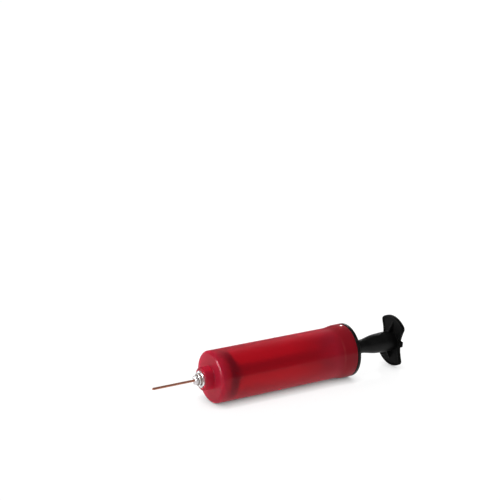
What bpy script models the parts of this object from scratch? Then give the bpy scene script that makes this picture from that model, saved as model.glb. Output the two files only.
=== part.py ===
"""Hand-held ball inflation pump, built piece by piece.

A translucent barrel with a nozzle boss at its front end, a screw-in ball
needle, a plunger with a clamped cup seal, an end cap that guides the rod, and
a butterfly-shaped grip.

Frame: +X runs along the pump axis from the needle (front) to the grip (back),
+Z is up, and the pump lies on its side.  The origin is on the axis, half way
between the needle's tip and the back of the grip.

Sizes are in millimetres.  A place along the axis is a station, measured from
the barrel's front face and positive towards the grip.
"""

import math

import bmesh
import bpy
from mathutils import Matrix

MM = 0.001

# ------------------------------------------------------- shared dimensions
# names ending in FRONT, BACK, END or TIP are stations
NEEDLE_TIP = -43.2
GRIP_BACK = 152.4
CLEARANCE = 0.3          # between neighbouring pieces
CUT_PAST = 2.0           # how far a through cutter runs past the surface it opens

COLLAR_RADIUS = 19.0     # back end of the barrel, and the end cap
BARREL_BACK = 108.4
BOSS_HOLE_RADIUS = 4.95  # hole in the nozzle boss
VALVE_SEAT = 2.6

FERRULE_FRONT = -7.9
FERRULE_BACK = -2.2
GASKET_BACK = -1.2

ROD_RADIUS = 4.8
ROD_FRONT = 17.0         # the rod's cross-shaped length
ROD_BACK = 112.2

# facets round a full turn
STEPS_BIG = 48
STEPS_MID = 32
STEPS_SMALL = 24

# name: (colour as linear RGB, roughness, metallic)
MATERIALS = {
    "barrel_red": ((0.30, 0.008, 0.014), 0.12, 0.0),
    "grip_black": ((0.012, 0.012, 0.012), 0.42, 0.0),
    "cap_black": ((0.010, 0.010, 0.011), 0.35, 0.0),
    "rod_nylon": ((0.70, 0.68, 0.63), 0.45, 0.0),
    "ferrule_nickel": ((0.66, 0.67, 0.68), 0.22, 1.0),
    "hub_nickel": ((0.62, 0.61, 0.60), 0.28, 1.0),
    "tube_bronze": ((0.38, 0.17, 0.10), 0.32, 1.0),
    "washer_fibre": ((0.18, 0.07, 0.045), 0.75, 0.0),
    "gasket_rubber": ((0.02, 0.02, 0.02), 0.7, 0.0),
    "valve_rubber": ((0.05, 0.05, 0.05), 0.6, 0.0),
    "cage_acetal": ((0.75, 0.74, 0.70), 0.45, 0.0),
    "bush_nylon": ((0.70, 0.69, 0.66), 0.5, 0.0),
    "bumper_rubber": ((0.05, 0.05, 0.05), 0.75, 0.0),
    "piston_head_nylon": ((0.60, 0.59, 0.56), 0.5, 0.0),
    "piston_back_black": ((0.02, 0.02, 0.02), 0.5, 0.0),
    "seal_rubber": ((0.014, 0.013, 0.013), 0.5, 0.0),
    "washer_steel": ((0.55, 0.56, 0.58), 0.3, 1.0),
    "piston_screw_steel": ((0.50, 0.51, 0.53), 0.3, 1.0),
    "handle_screw_steel": ((0.50, 0.51, 0.53), 0.3, 1.0),
    "handle_washer_steel": ((0.55, 0.56, 0.58), 0.3, 1.0),
}

# turns a piece's local +Z to point along the pump axis; its local +X points down
ALONG_X = Matrix.Rotation(math.radians(90), 4, 'Y')


# ------------------------------------------------------------ scene set-up
def clear_scene():
    for obj in list(bpy.data.objects):
        bpy.data.objects.remove(obj, do_unlink=True)


def new_collection(name):
    collection = bpy.data.collections.new(name)
    bpy.context.scene.collection.children.link(collection)
    return collection


clear_scene()
PARTS = new_collection("ball_inflation_pump")
CUTTERS = new_collection("cutters")


def add_empty(name, parent=None):
    obj = bpy.data.objects.new(name, None)
    PARTS.objects.link(obj)
    obj.parent = parent
    obj.empty_display_size = 0.01
    return obj


def new_material(name):
    colour, roughness, metallic = MATERIALS[name]
    material = bpy.data.materials.new(name)
    material.use_nodes = True
    shader = material.node_tree.nodes["Principled BSDF"]
    shader.inputs["Base Color"].default_value = (*colour, 1.0)
    shader.inputs["Roughness"].default_value = roughness
    shader.inputs["Metallic"].default_value = metallic
    material.diffuse_color = (*colour, 1.0)
    return material


def add_object(name, mesh, parent, material, matrix):
    """Place a mesh; one without a material is a hidden tool for booleans."""
    obj = bpy.data.objects.new(name, mesh)
    collection = PARTS if material else CUTTERS
    collection.objects.link(obj)
    obj.parent = parent
    obj.matrix_local = matrix
    if material:
        mesh.materials.append(new_material(material))
    else:
        obj.hide_render = True
        obj.display_type = 'WIRE'
    return obj


def combine(obj, operation, *others):
    for other in others:
        modifier = obj.modifiers.new(operation.lower() + "_" + other.name, 'BOOLEAN')
        modifier.operation = operation
        modifier.solver = 'EXACT'
        modifier.object = other


# ------------------------------------------------------------ shape makers
def unit(x, y):
    length = math.hypot(x, y)
    return x / length, y / length


def rounded(points, arc_steps):
    """Replace each corner that carries a third number by an arc of that radius."""
    out = []
    for i, (x, y, *radius) in enumerate(points):
        if not radius:
            out.append((x, y))
            continue
        before = points[i - 1]
        after = points[(i + 1) % len(points)]
        back_x, back_y = unit(before[0] - x, before[1] - y)
        ahead_x, ahead_y = unit(after[0] - x, after[1] - y)
        cosine = back_x * ahead_x + back_y * ahead_y
        half_angle = math.acos(max(-1.0, min(1.0, cosine))) / 2
        reach = radius[0] / math.tan(half_angle)
        depth = radius[0] / math.sin(half_angle)
        middle_x, middle_y = unit(back_x + ahead_x, back_y + ahead_y)
        centre_x = x + middle_x * depth
        centre_y = y + middle_y * depth
        # the arc's ends, seen from its centre
        start_x = x + back_x * reach - centre_x
        start_y = y + back_y * reach - centre_y
        end_x = x + ahead_x * reach - centre_x
        end_y = y + ahead_y * reach - centre_y
        sweep = math.atan2(
            start_x * end_y - start_y * end_x, start_x * end_x + start_y * end_y
        )
        for k in range(arc_steps + 1):
            cos = math.cos(sweep * k / arc_steps)
            sin = math.sin(sweep * k / arc_steps)
            out.append((
                centre_x + start_x * cos - start_y * sin,
                centre_y + start_x * sin + start_y * cos,
            ))
    return out


def turned(name, profile, steps, parent, material=None, closed=True, open_edge=None, arc_steps=2):
    """A profile of (station, radius[, corner rounding]) turned about the pump axis.

    The profile runs down its outer side from the grip end to the needle end.
    A closed one is a loop, any other starts and ends on the axis.  open_edge
    is the index of an edge to leave out.
    """
    points = rounded(profile, arc_steps)
    edges = [(i, i + 1) for i in range(len(points) - 1) if i != open_edge]
    if closed:
        edges.append((len(points) - 1, 0))
    mesh = bpy.data.meshes.new(name)
    mesh.from_pydata([(radius * MM, 0.0, station * MM) for station, radius in points], edges, [])
    # half a step of turn puts a flat, not a corner, at the bottom of the parent's frame
    matrix = ALONG_X @ Matrix.Rotation(math.pi / steps, 4, 'Z')
    obj = add_object(name, mesh, parent, material, matrix)
    screw = obj.modifiers.new("turn", 'SCREW')
    screw.axis = 'Z'
    screw.angle = 2 * math.pi
    screw.steps = steps
    screw.render_steps = steps
    screw.use_merge_vertices = True
    screw.merge_threshold = 0.000001
    screw.use_smooth_shade = True
    return obj


def washer(name, parent, material, *, front, back, hole, outer):
    """A flat ring between two stations; hole and outer are radii."""
    profile = [(back, hole), (back, outer), (front, outer), (front, hole)]
    return turned(name, profile, STEPS_SMALL, parent, material)


def plate(name, outline, thickness, matrix, parent, material=None):
    """A flat outline of (x, y), thickened evenly about its plane."""
    curve = bpy.data.curves.new(name + "_outline", 'CURVE')
    curve.dimensions = '2D'
    curve.fill_mode = 'BOTH'
    curve.extrude = 0.5 * thickness * MM
    spline = curve.splines.new('POLY')
    spline.points.add(len(outline) - 1)
    for point, (x, y) in zip(spline.points, outline):
        point.co = (x * MM, y * MM, 0.0, 1.0)
    spline.use_cyclic_u = True
    # a temporary object lets Blender fill the curve into a mesh
    carrier = bpy.data.objects.new(name + "_outline", curve)
    PARTS.objects.link(carrier)
    bpy.context.view_layer.update()
    depsgraph = bpy.context.evaluated_depsgraph_get()
    mesh = bpy.data.meshes.new_from_object(carrier.evaluated_get(depsgraph))
    bpy.data.objects.remove(carrier, do_unlink=True)
    mesh.name = name
    # weld the caps to the sides so that the plate is one solid
    body = bmesh.new()
    body.from_mesh(mesh)
    bmesh.ops.remove_doubles(body, verts=body.verts, dist=0.000001)
    bmesh.ops.recalc_face_normals(body, faces=body.faces)
    body.to_mesh(mesh)
    body.free()
    return add_object(name, mesh, parent, material, matrix)


def axial_plate(name, outline, front, back, parent, material=None):
    """A plate square to the pump axis between two stations."""
    matrix = ALONG_X @ Matrix.Translation((0.0, 0.0, 0.5 * (front + back) * MM))
    return plate(name, outline, back - front, matrix, parent, material)


def block(name, low, high, parent):
    """A box-shaped tool between two corners given as (station, y, z)."""
    mesh = bpy.data.meshes.new(name)
    body = bmesh.new()
    bmesh.ops.create_cube(body, size=1.0)
    size = [(b - a) * MM for a, b in zip(low, high)]
    middle = [0.5 * (b + a) * MM for a, b in zip(low, high)]
    bmesh.ops.scale(body, vec=size, verts=body.verts)
    bmesh.ops.translate(body, vec=middle, verts=body.verts)
    body.to_mesh(mesh)
    body.free()
    return add_object(name, mesh, parent, None, Matrix())


def prism(name, parent, material=None, *, radius, front, back,
          sides=STEPS_SMALL, turn=0.0, offset=(0.0, 0.0), matrix=ALONG_X):
    """A straight prism along local Z from front to back, moved sideways by offset."""
    mesh = bpy.data.meshes.new(name)
    body = bmesh.new()
    bmesh.ops.create_cone(
        body, cap_ends=True, segments=sides, radius1=radius * MM,
        radius2=radius * MM, depth=(back - front) * MM,
    )
    bmesh.ops.rotate(body, matrix=Matrix.Rotation(turn, 3, 'Z'), verts=body.verts)
    centre = (offset[0] * MM, offset[1] * MM, 0.5 * (back + front) * MM)
    bmesh.ops.translate(body, vec=centre, verts=body.verts)
    body.to_mesh(mesh)
    body.free()
    return add_object(name, mesh, parent, material, matrix)


# ------------------------------------------------------------------ barrel
BARREL_RADIUS = 18.0
BORE_RADIUS = 16.2
WALL_BACK = 2.5          # inner face of the front wall
FLARE_FRONT = 95.0       # the barrel widens into its collar
FLARE_BACK = 104.0
FLARE_STEPS = 6
SOCKET_FRONT = 99.4      # socket for the end cap
SOCKET_RADIUS = 17.45

BOSS_FRONT = -6.6
BOSS_RADIUS = 8.0
BOSS_HOLE_BACK = 0.1
CHAMBER_RADIUS = 3.4     # valve chamber
PORT_RADIUS = 1.1
INNER_BOSS_BACK = 4.0
INNER_BOSS_RADIUS = 6.6


def flare_point(k):
    """The k-th point of the flare, counted from its back; eased by a cosine."""
    t = k / FLARE_STEPS
    ease = 0.5 * (1 + math.cos(math.pi * t))
    return (
        FLARE_BACK + (FLARE_FRONT - FLARE_BACK) * t,
        BARREL_RADIUS + (COLLAR_RADIUS - BARREL_RADIUS) * ease,
    )


def build_barrel(axis):
    """One moulding: tube, flared collar, front wall and nozzle boss."""
    profile = [
        (BARREL_BACK, SOCKET_RADIUS + 0.25),
        (BARREL_BACK, COLLAR_RADIUS, 0.3),
        *[flare_point(k) for k in range(FLARE_STEPS + 1)],
        (0.0, BARREL_RADIUS, 2.2),
        # boss, with a fillet at its root
        (0.0, BOSS_RADIUS + 0.7),
        (-0.2, BOSS_RADIUS + 0.2),
        (-0.7, BOSS_RADIUS),
        (BOSS_FRONT, BOSS_RADIUS, 0.6),
        # stepped passage through the boss and the wall
        (BOSS_FRONT, BOSS_HOLE_RADIUS),
        (BOSS_HOLE_BACK, BOSS_HOLE_RADIUS),
        (BOSS_HOLE_BACK, CHAMBER_RADIUS),
        (VALVE_SEAT, CHAMBER_RADIUS),
        (VALVE_SEAT, PORT_RADIUS),
        (INNER_BOSS_BACK, PORT_RADIUS),
        (INNER_BOSS_BACK, INNER_BOSS_RADIUS, 0.5),
        (WALL_BACK, INNER_BOSS_RADIUS),
        # bore and socket, with a chamfered mouth
        (WALL_BACK, BORE_RADIUS, 1.0),
        (SOCKET_FRONT, BORE_RADIUS),
        (SOCKET_FRONT, SOCKET_RADIUS),
        (BARREL_BACK - 0.3, SOCKET_RADIUS),
    ]
    turned("barrel", profile, STEPS_BIG, axis, "barrel_red", arc_steps=3)


# -------------------------------------------------------- nozzle and valve
HEX_ACROSS_FLATS = 10.9
HEX_TURN = math.radians(14)
HEX_BACK = -6.75

CAGE_HOLE_COUNT = 4
CAGE_HOLE_CIRCLE = 1.9   # radius of the circle the hole centres lie on


def build_ferrule(axis):
    """Hexagonal flange with turned corners, a plain shank in the boss, a through bore."""
    ferrule = prism(
        "nozzle_ferrule", axis, "ferrule_nickel", sides=6, turn=HEX_TURN,
        radius=HEX_ACROSS_FLATS / math.sqrt(3), front=FERRULE_FRONT, back=HEX_BACK,
    )
    round_profile = [
        (HEX_BACK + 1, 0.0), (HEX_BACK + 1, 6.0), (FERRULE_FRONT + 0.35, 6.0),
        (FERRULE_FRONT, 5.6), (FERRULE_FRONT - 0.5, 4.9), (FERRULE_FRONT - 0.5, 0.0),
    ]
    corner_round = turned(
        "ferrule_corner_round", round_profile, STEPS_SMALL, axis, closed=False
    )
    shank = prism(
        "ferrule_shank", axis, radius=BOSS_HOLE_RADIUS - CLEARANCE,
        front=HEX_BACK - 0.4, back=FERRULE_BACK,
    )
    bore = prism(
        "ferrule_bore", axis, radius=3.85,
        front=FERRULE_FRONT - CUT_PAST, back=FERRULE_BACK + CUT_PAST,
    )
    combine(ferrule, 'INTERSECT', corner_round)
    combine(ferrule, 'UNION', shank)
    combine(ferrule, 'DIFFERENCE', bore)


def build_valve_cage(axis):
    """A perforated disc that keeps the valve disc in its chamber."""
    cage = prism(
        "valve_cage", axis, "cage_acetal", radius=4.6, front=GASKET_BACK + CLEARANCE, back=-0.25
    )
    for k in range(CAGE_HOLE_COUNT):
        angle = math.radians(45 + 360 / CAGE_HOLE_COUNT * k)
        centre = (CAGE_HOLE_CIRCLE * math.cos(angle), CAGE_HOLE_CIRCLE * math.sin(angle))
        hole = prism(
            "cage_hole_%d" % (k + 1), axis, sides=10, radius=0.55,
            front=-2.0, back=1.0, offset=centre,
        )
        combine(cage, 'DIFFERENCE', hole)


def build_valve_disc(axis):
    front = VALVE_SEAT - 1.2
    back = VALVE_SEAT - CLEARANCE
    radius = 2.75
    profile = [(back, 0.0), (back, radius), (front, radius), (front, 0.0)]
    turned("valve_disc", profile, STEPS_SMALL, axis, "valve_rubber", closed=False)


def build_nozzle(axis):
    build_ferrule(axis)
    washer(
        "nozzle_gasket", axis, "gasket_rubber",
        front=FERRULE_BACK + CLEARANCE, back=GASKET_BACK, hole=1.7, outer=4.6,
    )
    build_valve_cage(axis)
    build_valve_disc(axis)


# ------------------------------------------------------------------ needle
HUB_FRONT = -11.9
HUB_BACK = -2.4
THREAD_RADIUS = 3.6      # outer size of the thread, left plain
FLANGE_RADIUS = 4.15     # hub flange and the washer behind it
FLANGE_FRONT = -9.6
FLANGE_BACK = -8.6
NOSE_RADIUS = 3.05
TUBE_HOLE_RADIUS = 0.98  # in the hub's front
HUB_BORE_RADIUS = 1.35

TUBE_RADIUS = 0.8
TUBE_BORE_RADIUS = 0.5
TUBE_BACK = -6.2
TIP_LENGTH = 1.1         # rounded end of the tube
TIP_STEPS = 4


def build_hub(axis):
    profile = [
        (HUB_BACK, HUB_BORE_RADIUS),
        (HUB_BACK, THREAD_RADIUS - 0.35),
        (HUB_BACK - 0.35, THREAD_RADIUS),
        # groove between thread and flange
        (-7.4, THREAD_RADIUS),
        (-7.4, 2.85),
        (FLANGE_BACK, 2.85),
        (FLANGE_BACK, FLANGE_RADIUS, 0.2),
        (FLANGE_FRONT, FLANGE_RADIUS, 0.25),
        (FLANGE_FRONT, NOSE_RADIUS, 0.25),
        (HUB_FRONT, NOSE_RADIUS, 0.3),
        (HUB_FRONT, TUBE_HOLE_RADIUS),
        (-5.8, TUBE_HOLE_RADIUS),
        (-5.8, HUB_BORE_RADIUS),
    ]
    turned("needle_hub", profile, STEPS_SMALL, axis, "hub_nickel")


def build_tube(axis):
    """Tube with a closed, rounded tip and one hole in its upper side."""
    profile = [(TUBE_BACK, TUBE_BORE_RADIUS), (TUBE_BACK, TUBE_RADIUS)]
    for k in range(TIP_STEPS):
        angle = math.radians(90 * k / TIP_STEPS)
        profile.append((
            NEEDLE_TIP + TIP_LENGTH - TIP_LENGTH * math.sin(angle),
            TUBE_RADIUS * math.cos(angle),
        ))
    profile.append((NEEDLE_TIP, 0.0))
    tip_index = len(profile) - 1
    profile += [(NEEDLE_TIP + 1.4, 0.0), (NEEDLE_TIP + 1.6, TUBE_BORE_RADIUS)]
    # the edge that lies on the axis would sweep no surface, so it is left out
    tube = turned("needle_tube", profile, 16, axis, "tube_bronze", open_edge=tip_index)
    # this prism stands upright, from the axis up through the tube's wall
    side_hole = prism(
        "needle_side_hole", axis, sides=10, radius=0.32, front=0.0, back=2.4,
        offset=(NEEDLE_TIP + 3.0, 0.0), matrix=Matrix(),
    )
    combine(tube, 'DIFFERENCE', side_hole)


def build_needle(axis):
    washer(
        "needle_washer", axis, "washer_fibre",
        front=-8.45, back=-8.05, hole=3.05, outer=FLANGE_RADIUS,
    )
    build_hub(axis)
    build_tube(axis)


# ------------------------------------------------------------------ end cap
CAP_FRONT = 100.0
CAP_BACK = 111.1
CAP_FLANGE_FRONT = BARREL_BACK + CLEARANCE
PLUG_RADIUS = 17.1       # the part inside the barrel's socket
ROD_HOLE_RADIUS = 5.3
BUSH_POCKET_RADIUS = 6.35
BUSH_POCKET_BACK = 109.1
BUSH_RADIUS = 6.1
BUSH_BORE_RADIUS = 5.15


def build_end_cap(axis):
    """Flanged plug, hollow from the front around a sleeve for the rod bush."""
    profile = [
        (CAP_BACK, ROD_HOLE_RADIUS, 0.3),
        (CAP_BACK, COLLAR_RADIUS, 0.5),
        (CAP_FLANGE_FRONT, COLLAR_RADIUS, 0.25),
        (CAP_FLANGE_FRONT, PLUG_RADIUS),
        (CAP_FRONT + 0.6, PLUG_RADIUS),
        (CAP_FRONT, PLUG_RADIUS - 0.5),
        # hollow, then the sleeve
        (CAP_FRONT, 15.6),
        (107.0, 15.6),
        (107.0, 7.7),
        (101.0, 7.7),
        (101.0, BUSH_POCKET_RADIUS),
        (BUSH_POCKET_BACK, BUSH_POCKET_RADIUS),
        (BUSH_POCKET_BACK, ROD_HOLE_RADIUS),
    ]
    turned("end_cap", profile, STEPS_BIG, axis, "cap_black")


def build_rod_bush(axis):
    back = BUSH_POCKET_BACK - CLEARANCE
    profile = [
        (back, BUSH_BORE_RADIUS), (back, BUSH_RADIUS), (101.4, BUSH_RADIUS),
        (101.4, BUSH_BORE_RADIUS + 0.2), (101.7, BUSH_BORE_RADIUS),
    ]
    turned("rod_bush", profile, STEPS_MID, axis, "bush_nylon")


# --------------------------------------------------------------------- rod
WEB_THICKNESS = 1.7
SHOULDER_RADIUS = ROD_RADIUS - 0.15  # solid disc at each end of the webs
SPIGOT_FRONT = 9.6
SPIGOT_RADIUS = 3.5      # carries the piston
TENON_BACK = 146.0
TENON_RADIUS = 2.9       # goes into the grip's neck
SCREW_BORE = {"radius": 1.65, "sides": 12}


def cross_outline(radius, web):
    """A plus sign whose arms end on a circle."""
    half = web / 2
    tip = math.sqrt(radius * radius - half * half)
    out = []
    for k in range(4):
        cos = math.cos(math.pi / 2 * k)
        sin = math.sin(math.pi / 2 * k)
        for x, y in ((half, -half), (tip, -half), (radius, 0.0), (tip, half)):
            out.append((x * cos - y * sin, x * sin + y * cos))
    return out


def build_rod(axis):
    """Cross-shaped rod with a round spigot and tenon, each bored for a screw."""
    rod = axial_plate(
        "plunger_rod", cross_outline(ROD_RADIUS, WEB_THICKNESS),
        ROD_FRONT, ROD_BACK, axis, "rod_nylon",
    )
    spigot_profile = [
        (ROD_FRONT + 1.6, 0.0), (ROD_FRONT + 1.6, SHOULDER_RADIUS),
        (ROD_FRONT - 0.4, SHOULDER_RADIUS), (ROD_FRONT - 0.4, SPIGOT_RADIUS),
        (SPIGOT_FRONT, SPIGOT_RADIUS), (SPIGOT_FRONT, 0.0),
    ]
    tenon_profile = [
        (TENON_BACK, 0.0), (TENON_BACK, TENON_RADIUS - 0.4), (TENON_BACK - 0.4, TENON_RADIUS),
        (ROD_BACK - 0.1, TENON_RADIUS), (ROD_BACK - 0.1, SHOULDER_RADIUS),
        (ROD_BACK - 2.0, SHOULDER_RADIUS), (ROD_BACK - 2.0, 0.0),
    ]
    spigot = turned("rod_spigot", spigot_profile, STEPS_SMALL, axis, closed=False)
    tenon = turned("rod_tenon", tenon_profile, STEPS_SMALL, axis, closed=False)
    front_hole = prism(
        "rod_front_hole", axis, front=SPIGOT_FRONT - CUT_PAST, back=20.0, **SCREW_BORE
    )
    rear_hole = prism(
        "rod_rear_hole", axis, front=134.0, back=TENON_BACK + CUT_PAST, **SCREW_BORE
    )
    combine(rod, 'UNION', spigot, tenon)
    combine(rod, 'DIFFERENCE', front_hole, rear_hole)


# ------------------------------------------------------------------ piston
PISTON_HOLE_RADIUS = 3.75  # seal, head and back all fit over the spigot
SEAL_RADIUS = 16.05
SEAL_FRONT = 10.2
SEAL_WEB_FRONT = 12.4      # front face of the seal's flat web
SEAL_BACK = 13.8
SCREW_RADIUS = 1.35        # shanks of the piston and grip screws
RECESS_HALF_WIDTH = 0.35   # of each slot in a screw's head


def build_seal(axis):
    """Cup seal, open towards the front so that pressure spreads its lip."""
    profile = [
        (SEAL_BACK, PISTON_HOLE_RADIUS),
        (SEAL_BACK, SEAL_RADIUS, 0.5),
        (SEAL_FRONT + 0.3, SEAL_RADIUS),
        (SEAL_FRONT, SEAL_RADIUS - 0.3),
        (SEAL_FRONT, SEAL_RADIUS - 1.2),
        (SEAL_WEB_FRONT, SEAL_RADIUS - 1.9),
        (SEAL_WEB_FRONT, PISTON_HOLE_RADIUS),
    ]
    turned("piston_seal", profile, STEPS_BIG, axis, "seal_rubber")


def build_clamp_discs(axis):
    """The discs in front of and behind the seal's web."""
    head_back = SEAL_WEB_FRONT - CLEARANCE
    head_profile = [
        (head_back, PISTON_HOLE_RADIUS), (head_back, 10.8), (11.6, 11.3),
        (10.2, 11.3), (9.9, 11.0), (9.9, PISTON_HOLE_RADIUS),
    ]
    turned("piston_head", head_profile, STEPS_MID, axis, "piston_head_nylon")
    disc_front = SEAL_BACK + CLEARANCE
    back_profile = [
        (16.3, PISTON_HOLE_RADIUS), (16.3, 10.0), (14.9, 12.4),
        (disc_front, 12.4), (disc_front, PISTON_HOLE_RADIUS),
    ]
    turned("piston_back", back_profile, STEPS_MID, axis, "piston_back_black")


def build_bumper(axis):
    """A rounded ring around the rod, behind the piston."""
    profile = [(21.0, 5.1), (21.0, 7.6, 0.8), (18.9, 7.6, 0.8), (18.9, 5.1)]
    turned("stop_bumper", profile, STEPS_SMALL, axis, "bumper_rubber")


def build_screw(name, profile, axis, material, *, recess_front, recess_back, recess_reach):
    """A pan-head screw with a recess of two crossed slots."""
    screw = turned(name, profile, STEPS_SMALL, axis, material, closed=False, arc_steps=3)
    for suffix, half_y, half_z in (
        ("a", recess_reach, RECESS_HALF_WIDTH),
        ("b", RECESS_HALF_WIDTH, recess_reach),
    ):
        slot = block(
            name + "_recess_" + suffix,
            (recess_front, -half_y, -half_z), (recess_back, half_y, half_z), axis,
        )
        combine(screw, 'DIFFERENCE', slot)


def build_piston(pump_axis, plunger_axis):
    build_seal(pump_axis)
    build_clamp_discs(plunger_axis)
    build_bumper(plunger_axis)
    washer(
        "piston_washer", plunger_axis, "washer_steel", front=8.6, back=9.3, hole=1.8, outer=5.2
    )
    # its head is in front and its point towards the grip
    profile = [
        (18.6, 0.0), (17.6, SCREW_RADIUS), (8.3, SCREW_RADIUS),
        (8.3, 3.1, 0.2), (6.3, 3.1, 1.2), (6.3, 0.0),
    ]
    build_screw(
        "piston_screw", profile, plunger_axis, "piston_screw_steel",
        recess_front=5.0, recess_back=7.4, recess_reach=1.6,
    )


# -------------------------------------------------------------------- grip
GRIP_RADIUS = 18.6
GRIP_ROLL = math.radians(7.2)     # the whole plunger is rolled by this
GRIP_CORNER = math.radians(43.1)  # from the vertical to where the arc ends
CORNER_BLEND = 1.8       # points nearer a corner than this give way to a blend
WAIST = (9.5, 2.4)       # (y, z) where the side meets its mirror image
ARC_STEPS = 12
SIDE_STEPS = 7
BLEND_STEPS = 4

PAD_FRONT = 150.0        # front face of the grip's plate
POCKET_RIM = 1.3         # width left around the pocket
POCKET_DEPTH = 0.7
NECK_FRONT = ROD_BACK + CLEARANCE
GUSSET_THICKNESS = 1.2

# (station, radius) of the neck's outer side, back to front
NECK_SIDE = [
    (GRIP_BACK - 0.4, 7.25), (148.6, 7.25), (144.0, 7.25), (139.0, 7.1),
    (135.5, 6.9), (132.0, 6.4), (128.5, 5.6), (125.0, 4.93), (122.0, 4.8),
    (118.0, 4.75), (NECK_FRONT + 0.4, 4.75), (NECK_FRONT, 4.35),
]


def bezier(controls, t):
    """The point at t on the Bezier curve of any number of control points."""
    degree = len(controls) - 1
    weights = [
        math.comb(degree, k) * (1 - t) ** (degree - k) * t ** k for k in range(degree + 1)
    ]
    return tuple(sum(w * value for w, value in zip(weights, axis)) for axis in zip(*controls))


def grip_outline():
    """Butterfly plate as (y, z): two arcs about the axis joined by waisted sides."""
    def on_arc(angle):
        return GRIP_RADIUS * math.sin(angle), GRIP_RADIUS * math.cos(angle)

    corner = on_arc(GRIP_CORNER)
    side_controls = [
        corner,
        tuple(c + 0.33 * (w - c) for c, w in zip(corner, WAIST)),
        (WAIST[0], WAIST[1] + 0.35 * (corner[1] - WAIST[1])),
        WAIST,
    ]
    arc = [on_arc(GRIP_CORNER * k / ARC_STEPS) for k in range(ARC_STEPS + 1)]
    side = [bezier(side_controls, k / SIDE_STEPS) for k in range(SIDE_STEPS + 1)]
    arc = [point for point in arc if math.dist(point, corner) > CORNER_BLEND]
    side = [point for point in side if math.dist(point, corner) > CORNER_BLEND]
    blend_controls = (arc[-1], corner, side[0])
    blend = [bezier(blend_controls, k / BLEND_STEPS) for k in range(1, BLEND_STEPS)]
    quarter = arc + blend + side
    return (
        quarter
        + [(y, -z) for y, z in reversed(quarter)]
        + [(-y, -z) for y, z in quarter[1:]]
        + [(-y, z) for y, z in reversed(quarter[1:])]
    )


def inset(loop, distance):
    """Move each point of a (y, z) loop inwards.

    The loop runs clockwise seen from the grip end.
    """
    moved = []
    for i, (y, z) in enumerate(loop):
        before = loop[i - 1]
        after = loop[(i + 1) % len(loop)]
        along_y, along_z = unit(after[0] - before[0], after[1] - before[1])
        moved.append((y + along_z * distance, z - along_y * distance))
    return moved


def across(outline):
    """(y, z) of an outline to the local x, y of a plate that faces along the axis."""
    return [(-z, y) for y, z in outline]


def add_gusset_and_tab(handle, side, axis):
    """side 1: gusset above, tab towards +Y; side -1: gusset below, tab towards -Y."""
    # (station, z)
    gusset_outline = [
        (GRIP_BACK - 0.5, side * 4.0), (PAD_FRONT - 3.4, side * 4.0),
        (PAD_FRONT - 3.4, side * 7.6), (PAD_FRONT + 0.4, side * 14.6),
        (GRIP_BACK - 0.5, side * 14.6),
    ]
    gusset = plate(
        "grip_gusset_" + ("top" if side > 0 else "bottom"), gusset_outline,
        GUSSET_THICKNESS, Matrix.Rotation(math.radians(90), 4, 'X'), axis,
    )
    low_y, high_y = sorted((side * 7.9, side * 12.0))
    low_z, high_z = sorted((-side * 3.1, side * 0.9))
    tab = block(
        "grip_tab_" + ("left" if side > 0 else "right"),
        (PAD_FRONT + 0.05, low_y, low_z), (GRIP_BACK - 0.05, high_y, high_z), axis,
    )
    combine(handle, 'UNION', gusset, tab)


def build_handle(axis):
    """Plate with a front pocket, a neck, gussets and tabs, bored for rod and screw."""
    outline = grip_outline()
    handle = axial_plate("handle", across(outline), PAD_FRONT, GRIP_BACK, axis, "grip_black")
    pocket = axial_plate(
        "grip_pocket", across(inset(outline, POCKET_RIM)),
        PAD_FRONT - 1.0, PAD_FRONT + POCKET_DEPTH, axis,
    )
    neck_profile = [(NECK_SIDE[0][0], 0.0), *NECK_SIDE, (NECK_FRONT, 0.0)]
    neck = turned("grip_neck", neck_profile, STEPS_MID, axis, closed=False)
    combine(handle, 'DIFFERENCE', pocket)
    combine(handle, 'UNION', neck)
    for side in (1, -1):
        add_gusset_and_tab(handle, side, axis)
    combine(
        handle, 'DIFFERENCE',
        prism("neck_bore", axis, radius=3.15, front=NECK_FRONT - 3, back=146.6),
        prism("grip_screw_hole", axis, sides=16, radius=1.7, front=145.0, back=150.4),
        prism("grip_counterbore", axis, radius=3.8, front=149.0, back=GRIP_BACK + CUT_PAST),
    )


def build_grip(axis):
    build_handle(axis)
    washer(
        "handle_washer", axis, "handle_washer_steel",
        front=149.3, back=149.8, hole=1.75, outer=3.5,
    )
    # its head is at the back and its point towards the needle
    profile = [
        (151.9, 0.0), (151.9, 2.9, 1.1), (150.1, 2.9, 0.2),
        (150.1, SCREW_RADIUS), (137.0, SCREW_RADIUS), (136.0, 0.0),
    ]
    build_screw(
        "handle_screw", profile, axis, "handle_screw_steel",
        recess_front=150.9, recess_back=153.5, recess_reach=1.5,
    )


# ---------------------------------------------------------------- assembly
def build_pump():
    pump_axis = add_empty("pump_axis")
    pump_axis.location = (-0.5 * (NEEDLE_TIP + GRIP_BACK) * MM, 0.0, 0.0)
    plunger_axis = add_empty("plunger_axis", pump_axis)
    plunger_axis.rotation_euler = (GRIP_ROLL, 0.0, 0.0)
    needle_axis = add_empty("needle_axis", pump_axis)

    build_barrel(pump_axis)
    build_nozzle(pump_axis)
    build_needle(needle_axis)
    build_end_cap(pump_axis)
    build_rod_bush(pump_axis)
    build_rod(plunger_axis)
    build_piston(pump_axis, plunger_axis)
    build_grip(plunger_axis)


build_pump()
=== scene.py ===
"""Looks of a ball inflation pump: fine meshes and procedural materials over the CAD model.

The pump lies along X, its needle toward -X and its handle toward +X. Shapes are given in
millimetres: a station s along X, counted from the barrel's front face, with a radius r or y, z.
"""
import math

import bmesh
import bpy
from mathutils import Matrix, Vector


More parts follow.
